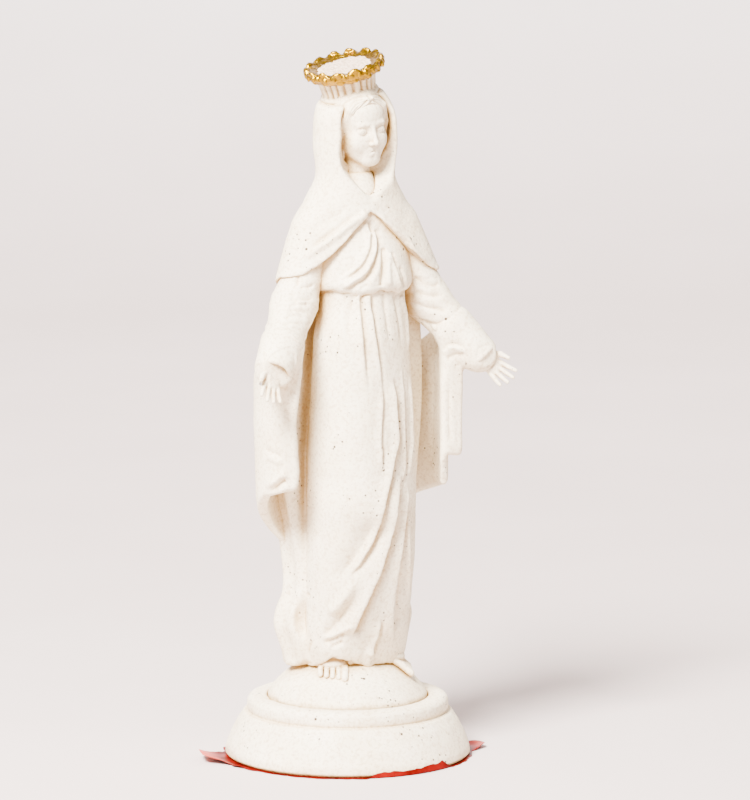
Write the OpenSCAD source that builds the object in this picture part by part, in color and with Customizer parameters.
// Robed standing madonna on a globe and a round moulded plinth.
// The figure faces -Y, its right hand is on the -X side, and +Z is up.
// The origin is the centre of the resting face, and lengths are in millimetres.

/* [Plinth and globe] */
// Diameter of the plinth's foot
plinth_d = 69; // [66:0.5:74]
// Height of the plinth's flared wall, up to the groove
plinth_wall_h = 12.3; // [11:0.1:13]
// Diameter of the collar above the groove
collar_d = 56.4; // [54:0.2:58]
// Radius of the globe that the figure stands on
globe_r = 27; // [26.5:0.1:27.5]
// Diameter of the steel rod that joins plinth, globe and skirt
rod_d = 4; // [3:0.5:5]

/* [Gown] */
// Half width of the skirt at the hip
skirt_w = 17; // [15:0.25:17.5]
// Half width of the waist
waist_w = 13; // [11.5:0.25:13.5]
// Number of folds round the skirt
fold_count = 13; // [7:1:19]
// Depth of the skirt's folds, as a share of its radius
fold_depth = 0.035; // [0:0.005:0.06]

/* [Mantle and veil] */
// Half width of the veil at the temples
hood_w = 11.7; // [11:0.1:12.5]
// Thickness of the cloth that hangs from each forearm
fall_t = 2.6; // [2:0.1:3.2]
// Lowest point of the cloth that hangs from the right forearm
right_fall_z = 54; // [48:1:70]
// Lowest point of the cloth that hangs from the left forearm
left_fall_z = 73; // [60:1:80]

/* [Head] */
// Turn of the head toward its left shoulder in degrees
head_turn = 15; // [0:1:25]
// Sideways lean of the head toward its right shoulder in degrees
head_lean = 7; // [0:1:10]
// Forward nod of the head in degrees
head_nod = 8; // [0:1:12]

/* [Crown] */
// Diameter across the gilt lobes
crown_d = 22.3; // [21:0.1:25]
// Number of lobes round the rim
lobe_count = 14; // [12:1:20]
// Sideways lean of the crown in degrees
crown_lean = 15.5; // [8:0.5:18]
// Number of flutes round the band
flute_count = 24; // [16:1:32]

/* [Hidden] */

plaster = "ivory";
gilt = "goldenrod";
wire = "silver";
film_red = "crimson";

gap = 0.08;        // glue line between two castings
bore_gap = 0.05;   // radial room round a rod or pin
far = 100;         // longer than any cut needs

film_t = 0.2;
collar_top_z = 17;
globe_z = 2.7;
globe_seat_r = 22.6;
seat_z = 15.2;
rod_low_z = 6;
rod_top_z = 60;

waist_z = 131;
hem_z = 22;
cape_hem_z = 136;
clasp_z = 155;
cape_slope = 39;

// Each row is one level: height, centre x, centre y, half width, half depth.
skirt_rows = [
    [hem_z, 0.5, -4, skirt_w - 2.5, 12], [30, 0.5, -4.5, skirt_w - 0.5, 13.5],
    [45, 0.3, -5, skirt_w, 14], [60, 0, -6, skirt_w, 14], [86, 0, -7, skirt_w - 0.2, 13.7],
    [110, 0.2, -7.5, skirt_w - 2, 12], [124, 0.4, -8, waist_w + 0.5, 10.8],
    [waist_z, 0.4, -8, waist_w, 10.3]];
bodice_rows = [
    [waist_z, 0.4, -8, waist_w, 10.3], [136, 0.3, -7.8, waist_w + 1.2, 11],
    [143, 0.2, -6.5, waist_w + 1.4, 10.5], [150, 0, -5, waist_w, 9.5],
    [156, 0, -4.5, waist_w - 2.6, 8], [160, 0, -4.3, waist_w - 6.2, 6.4]];
mantle_rows = [
    [hem_z, 0, 1, 17.5, 12], [30, 0, 1.5, 18.5, 13], [38, 0, 1.5, 20.5, 14],
    [50, 0, 1, 18.8, 14], [75, 0, 0, 21, 15.5], [100, 0, -1.5, 22.5, 15.5],
    [125, 0, -4, 22, 13.5], [cape_hem_z, 0, -5.6, 22, 12.7]];
veil_rows = [
    [cape_hem_z, 0, -5.6, 23, 13], [143, 0, -5.6, 21.4, 12.2], [152, 0, -4.8, 17.8, 10.9],
    [158, 0, -4.5, 14.6, 10], [162, 0.2, -4.4, 12, 9.8], [165, 0.3, -4.3, hood_w - 0.6, 10.2],
    [172, 0.4, -4.2, hood_w, 11.2], [179, 0.3, -4.2, hood_w - 0.2, 11],
    [182, 0.2, -4.2, hood_w - 0.8, 10.5], [184.5, 0.1, -4.1, hood_w - 1.7, 9.6],
    [187, 0, -3.8, hood_w - 3, 8.4], [190, -0.2, -3.5, hood_w - 5.4, 6]];

shoulder = [12.5, -5, 149];
elbow = [20.5, -8, 129];
wrist = [33, -17, 113];
fingertip = [39.5, -21.5, 106.5];
forearm = wrist - elbow;
forearm_turn = atan2(forearm[1], forearm[0]);
forearm_dip = acos(forearm[2] / norm(forearm));
pin_d = 1.2;
pin_reach = 3.5;

fall_centre = [20, -7];
fall_r = 12.6;
fall_start = -56;
fall_sweep = 150;
fall_slope = 32;

head_centre = [0.4, -5, 177.8];
head_size = [7.5, 8.6, 10.4];
hair_grow = 1.1;
neck_r = 4.2;
neck_pin_d = 2.4;
neck_axis = [0.3, -4.2];

crown_seat = [-0.5, -2.9, 185.6];
crown_nod = 6.5;
band_r = 7.7;
bead_r = 8.3;
bead_h = 1.9;
band_h = 6.6;
rim_h = 3.7;
rim_t = 0.9;
fill_r = 7.8;
fill_h = 2.3;
crown_pin_d = 2;

function spline(a, b, c, d, t) =
    0.5 * (2 * b + (c - a) * t + (2 * a - 5 * b + 4 * c - d) * t * t
    + (3 * b - a - 3 * c + d) * t * t * t);
function row_at(rows, i) = rows[min(max(i, 0), len(rows) - 1)];
function smooth_rows(rows, steps = 2) = concat(
    [for (i = [0:len(rows) - 2], k = [0:steps - 1])
        spline(row_at(rows, i - 1), rows[i], rows[i + 1], row_at(rows, i + 2), k / steps)],
    [rows[len(rows) - 1]]);
function ring(row, sides, grow, folds, depth) = [for (i = [0:sides - 1])
    let (a = 360 * i / sides, wave = 1 + depth * cos(folds * a + row[0] * 3))
    [row[1] + (row[3] + grow) * wave * cos(a), row[2] + (row[4] + grow) * wave * sin(a), row[0]]];

// A closed skin through elliptical levels, with folds as waves of its radius.
module loft(rows, sides = 40, grow = 0, folds = 0, depth = 0) {
    levels = smooth_rows(rows);
    last = len(levels) - 1;
    polyhedron(
        points = [for (row = levels) each ring(row, sides, grow, folds, depth)],
        faces = concat(
            [[for (i = [0:sides - 1]) i]],
            [[for (i = [sides - 1:-1:0]) last * sides + i]],
            [for (k = [0:last - 1], i = [0:sides - 1])
                let (a = k * sides + i, b = k * sides + (i + 1) % sides)
                each [[a, a + sides, b], [b, a + sides, b + sides]]]));
}

// One carved skin: the modelled faces of a casting stay together as a single mesh.
module carved() {
    resize([0, 0, 0]) children();
}

module on_left() {
    mirror([1, 0, 0]) children();
}

module skirt_skin(grow = 0) {
    loft(skirt_rows, 52, grow, fold_count, fold_depth);
}

module bodice_skin(grow = 0) {
    loft(bodice_rows, 40, grow, 9, 0.02);
}

module globe_ball(grow = 0) {
    translate([0, 0, globe_z]) sphere(globe_r + grow, $fn = 64);
}

module rod_bore() {
    translate([0, 0, rod_low_z - gap])
        cylinder(h = rod_top_z - rod_low_z + 2 * gap, d = rod_d + 2 * bore_gap, $fn = 48);
}

// The arm on the +X side, from under the cape to the cuff.
module arm_skin(grow = 0) {
    hull() {
        translate(shoulder) sphere(5.8 + grow, $fn = 24);
        translate(elbow) sphere(6.2 + grow, $fn = 24);
    }
    hull() {
        translate(elbow) sphere(6.2 + grow, $fn = 24);
        translate(wrist) sphere(4.6 + grow, $fn = 24);
    }
}

module along_forearm(start) {
    translate(start) rotate([0, 0, forearm_turn]) rotate([0, forearm_dip, 0]) children();
}

module past_cuff() {
    along_forearm(wrist) translate([-far / 2, -far / 2, 1.5]) cube(far);
}

module hand_pin(grow = 0) {
    along_forearm(wrist) translate([0, 0, 1.5 - pin_reach - grow])
        cylinder(h = 2 * pin_reach + 2 * grow, d = pin_d + 2 * grow, $fn = 24);
}

// The head's own frame: its children look along -Y and are turned as the head is.
module in_head() {
    translate(head_centre) rotate([0, -head_lean, head_turn]) rotate([head_nod, 0, 0]) children();
}

module head_skin(grow = 0) {
    in_head() scale(head_size + [grow, grow, grow]) sphere(1, $fn = 40);
    translate([neck_axis[0], neck_axis[1], 157])
        cylinder(h = 14, r1 = neck_r + 0.8 + grow, r2 = neck_r + grow, $fn = 36);
}

// The veil's opening, an upright oval round the face and the throat.
module face_window() {
    in_head() hull() {
        translate([0, -13, 1]) scale([10.4, 10.5, 12]) sphere(1, $fn = 32);
        translate([0, -12, -8.5]) scale([7, 8.5, 6]) sphere(1, $fn = 32);
    }
}

module hair_skin(grow = 0) {
    in_head() translate([0, 0.5, 0.5])
        scale(head_size + [1, 1, 1] * (hair_grow + grow)) sphere(1, $fn = 40);
}

module at_crown() {
    translate(crown_seat) rotate([crown_nod, -crown_lean, 0]) children();
}

// Everything above the plane that the crown's bead stands on.
module above_head() {
    at_crown() cylinder(h = far, r = far, $fn = 32);
}

module neck_bore() {
    translate([neck_axis[0], neck_axis[1], 151 - gap])
        cylinder(h = 16 + 2 * gap, d = neck_pin_d + 2 * bore_gap, $fn = 32);
}

module crown_bore() {
    at_crown() translate([0, 0, -6 - gap])
        cylinder(h = 9 + 2 * gap, d = crown_pin_d + 2 * bore_gap, $fn = 32);
}

// Everything under the cape's front hem, a tent that falls away on both sides of the clasp.
module under_cape() {
    for (side = [0, 1])
        mirror([side, 0, 0]) translate([0, -4, clasp_z]) rotate([0, cape_slope, 0])
            translate([0, -far, -far]) cube(far);
}

module base_film() {
    color(film_red) linear_extrude(film_t)
        polygon([[-40, 9], [-31, -3], [-24, -18], [-12, -26], [2, -34], [14, -35.5], [26, -28],
            [37, -10], [35, 2], [22, 24], [4, 33], [-18, 29], [-34, 20]]);
}

module plinth() {
    foot_r = plinth_d / 2;
    collar_r = collar_d / 2;
    color(plaster) difference() {
        rotate_extrude($fn = 96) polygon([[0, film_t], [foot_r - 0.6, film_t], [foot_r, 0.9],
            [foot_r - 0.5, 3], [foot_r - 2.6, 8], [foot_r - 5.2, plinth_wall_h - 0.4],
            [collar_r + 0.2, plinth_wall_h], [collar_r - 0.5, plinth_wall_h + 0.3],
            [collar_r - 0.1, plinth_wall_h + 0.8], [collar_r, plinth_wall_h + 2],
            [collar_r - 0.2, collar_top_z - 1.1], [collar_r - 0.7, collar_top_z - 0.4],
            [collar_r - 1.6, collar_top_z], [globe_seat_r, collar_top_z],
            [globe_seat_r, seat_z], [0, seat_z]]);
        rod_bore();
    }
}

module globe() {
    color(plaster) difference() {
        intersection() {
            globe_ball();
            translate([0, 0, seat_z + gap]) cylinder(h = far, r = globe_seat_r - gap, $fn = 96);
        }
        rod_bore();
    }
}

module figure_rod() {
    color(wire) translate([0, 0, rod_low_z])
        cylinder(h = rod_top_z - rod_low_z, d = rod_d, $fn = 48);
}

module skirt() {
    color(plaster) difference() {
        carved() difference() {
            skirt_skin();
            globe_ball(gap);
        }
        rod_bore();
    }
}

module bodice() {
    color(plaster) difference() {
        translate([0, 0, gap]) bodice_skin();
        neck_bore();
    }
}

module mantle_back() {
    color(plaster) carved() difference() {
        loft(mantle_rows, 44, 0, 11, 0.03);
        skirt_skin(gap);
        bodice_skin(gap + 0.1);
        globe_ball(gap);
        for (side = [0, 1]) mirror([side, 0, 0]) arm_skin(gap);
        translate([-far / 2, -far - 3, 0]) cube([far, far, far * 2]);
    }
}

// Cloth over the +X forearm: an upright curved sheet that hangs from the sleeve and the
// mantle's side. Its lower edge climbs toward the front hem.
module fall_sheet(low_z) {
    carved() difference() {
        translate([fall_centre[0], fall_centre[1], low_z])
            rotate([0, 0, fall_start]) rotate_extrude(angle = fall_sweep, $fn = 64)
                translate([fall_r - fall_t, 0]) square([fall_t, far]);
        arm_skin(gap);
        skirt_skin(gap);
        loft(mantle_rows, 44, gap, 11, 0.03);
        translate(elbow) rotate([0, 0, forearm_turn]) rotate([0, forearm_dip - 90, 0])
            translate([-far / 2, -far / 2, 0]) cube(far);
        translate([0, 6, low_z]) rotate([-fall_slope, 0, 0])
            translate([-far, -far, -far]) cube([2 * far, 2 * far, far]);
    }
}

module left_fall() {
    color(plaster) fall_sheet(left_fall_z);
}

module right_fall() {
    color(plaster) on_left() fall_sheet(right_fall_z);
}

module sleeve() {
    difference() {
        carved() difference() {
            arm_skin();
            bodice_skin(gap);
            skirt_skin(gap);
            past_cuff();
        }
        hand_pin(bore_gap);
    }
}

module left_sleeve() {
    color(plaster) sleeve();
}

module right_sleeve() {
    color(plaster) on_left() sleeve();
}

// Open hand with the palm to the front and the fingers down and outwards.
module hand() {
    difference() {
        carved() intersection() {
            union() {
                hull() {
                    translate(wrist) sphere(2.1, $fn = 16);
                    translate(wrist + [3.6, -2.4, -3.2]) scale([1.25, 0.8, 1.25]) sphere(2, $fn = 16);
                }
                for (finger = [-1.5:1:1.5])
                    hull() {
                        translate(wrist + [3.6 + 0.5 * finger, -2.4, -3.4 + 0.9 * finger])
                            sphere(0.95, $fn = 12);
                        translate(fingertip + [0.7 * finger, 0, 1.1 * finger - 0.5 * abs(finger)])
                            sphere(0.7, $fn = 12);
                    }
                hull() {
                    translate(wrist + [1.5, -2, -0.5]) sphere(1, $fn = 12);
                    translate(wrist + [4.4, -5, 0.6]) sphere(0.8, $fn = 12);
                }
            }
            translate([0, 0, 0.05]) difference() {
                translate([-far, -far, 0]) cube(2 * far);
                along_forearm(wrist) translate([-far / 2, -far / 2, 1.5 + gap - far]) cube(far);
            }
        }
        hand_pin(bore_gap);
    }
}

module left_hand() {
    color(plaster) hand();
}

module right_hand() {
    color(plaster) on_left() hand();
}

module left_hand_pin() {
    color(wire) hand_pin();
}

module right_hand_pin() {
    color(wire) on_left() hand_pin();
}

// Bare front of a foot that shows under the hem. Its toes point along turn.
module foot(toe, turn) {
    carved() difference() {
        translate([toe[0], toe[1], toe[2]]) rotate([0, 0, turn]) {
            hull() {
                translate([-8, 0, 2.2]) sphere(2.6, $fn = 20);
                for (side = [-1, 1]) translate([-1.6, side * 2, -0.4]) sphere(1.5, $fn = 16);
            }
            for (i = [0:4])
                hull() {
                    translate([-2, 1.7 * (i - 2), 0.2]) sphere(0.95, $fn = 12);
                    translate([1.6 - 0.35 * i, 1.6 * (i - 2), -0.4]) sphere(0.85, $fn = 12);
                }
        }
        skirt_skin(gap);
        globe_ball(gap);
    }
}

module right_foot() {
    color(plaster) foot([-11.2, -13.4, 24.3], -122);
}

module left_foot() {
    color(plaster) foot([15.2, -10, 24], -32);
}

module head() {
    color(plaster) difference() {
        carved() difference() {
            union() {
                head_skin();
                in_head() hull() {
                    translate([0, -8, 0.6]) sphere(0.5, $fn = 12);
                    translate([0, -8.8, -2]) sphere(0.7, $fn = 12);
                }
            }
            bodice_skin(gap + 0.1);
            above_head();
        }
        neck_bore();
        crown_bore();
    }
}

module hair() {
    color(plaster) difference() {
        carved() difference() {
            hair_skin();
            head_skin(gap);
            in_head() translate([0, -9.6, -1.5]) scale([5.6, 8, 8]) sphere(1, $fn = 32);
            in_head() translate([-far / 2, -far / 2, -far - 7]) cube(far);
            above_head();
        }
        crown_bore();
    }
}

module veil() {
    color(plaster) difference() {
        carved() difference() {
            translate([0, 0, gap]) loft(veil_rows, 44);
            head_skin(gap);
            hair_skin(gap);
            bodice_skin(gap + 0.1);
            face_window();
            for (side = [0, 1]) mirror([side, 0, 0]) arm_skin(gap);
            under_cape();
            above_head();
        }
        neck_bore();
        crown_bore();
    }
}

module neck_pin() {
    color(wire) translate([neck_axis[0], neck_axis[1], 151])
        cylinder(h = 16, d = neck_pin_d, $fn = 32);
}

module crown_pin() {
    color(wire) at_crown() translate([0, 0, -6]) cylinder(h = 9, d = crown_pin_d, $fn = 32);
}

module crown_band() {
    color(plaster) at_crown() difference() {
        translate([0, 0, gap]) rotate_extrude($fn = 96) polygon([[0, 0], [bead_r - 0.5, 0],
            [bead_r, 0.5], [bead_r, bead_h - 0.5], [bead_r - 0.5, bead_h], [band_r, bead_h + 0.1],
            [band_r - 0.1, bead_h + 1.6], [band_r + 0.6, band_h], [0, band_h]]);
        for (i = [0:flute_count - 1])
            rotate([0, 0, 360 * i / flute_count]) translate([band_r + 0.35, 0, bead_h + 0.5])
                cylinder(h = far, r = 0.45, $fn = 24);
        translate([0, 0, -gap]) cylinder(h = 3 + 2 * gap, d = crown_pin_d + 2 * bore_gap, $fn = 32);
    }
}

module crown_fill() {
    color("whitesmoke") at_crown() translate([0, 0, band_h + 2 * gap])
        cylinder(h = fill_h, r = fill_r, $fn = 72);
}

// Gilt rim: a flared wall whose top edge is cut into round lobes.
module crown_rim() {
    rim_r = crown_d / 2;
    color(gilt) at_crown() translate([0, 0, band_h + 2 * gap]) difference() {
        rotate_extrude($fn = 96) polygon([[fill_r + gap, 0], [fill_r + gap + rim_t, 0],
            [rim_r - 0.6, 1.5], [rim_r, rim_h * 0.75], [rim_r - 0.2, rim_h],
            [rim_r - rim_t - 0.3, rim_h], [fill_r + gap, fill_h - 0.1]]);
        for (i = [0:lobe_count - 1])
            rotate([0, 0, 360 * i / lobe_count]) translate([rim_r - 3, 0, rim_h + 0.3])
                rotate([0, 90, 0]) cylinder(h = 5, r = 1.1, $fn = 24);
    }
}

base_film();
plinth();
globe();
figure_rod();
skirt();
bodice();
mantle_back();
right_fall();
left_fall();
right_sleeve();
left_sleeve();
right_hand();
left_hand();
right_hand_pin();
left_hand_pin();
right_foot();
left_foot();
head();
hair();
veil();
neck_pin();
crown_pin();
crown_band();
crown_rim();
crown_fill();
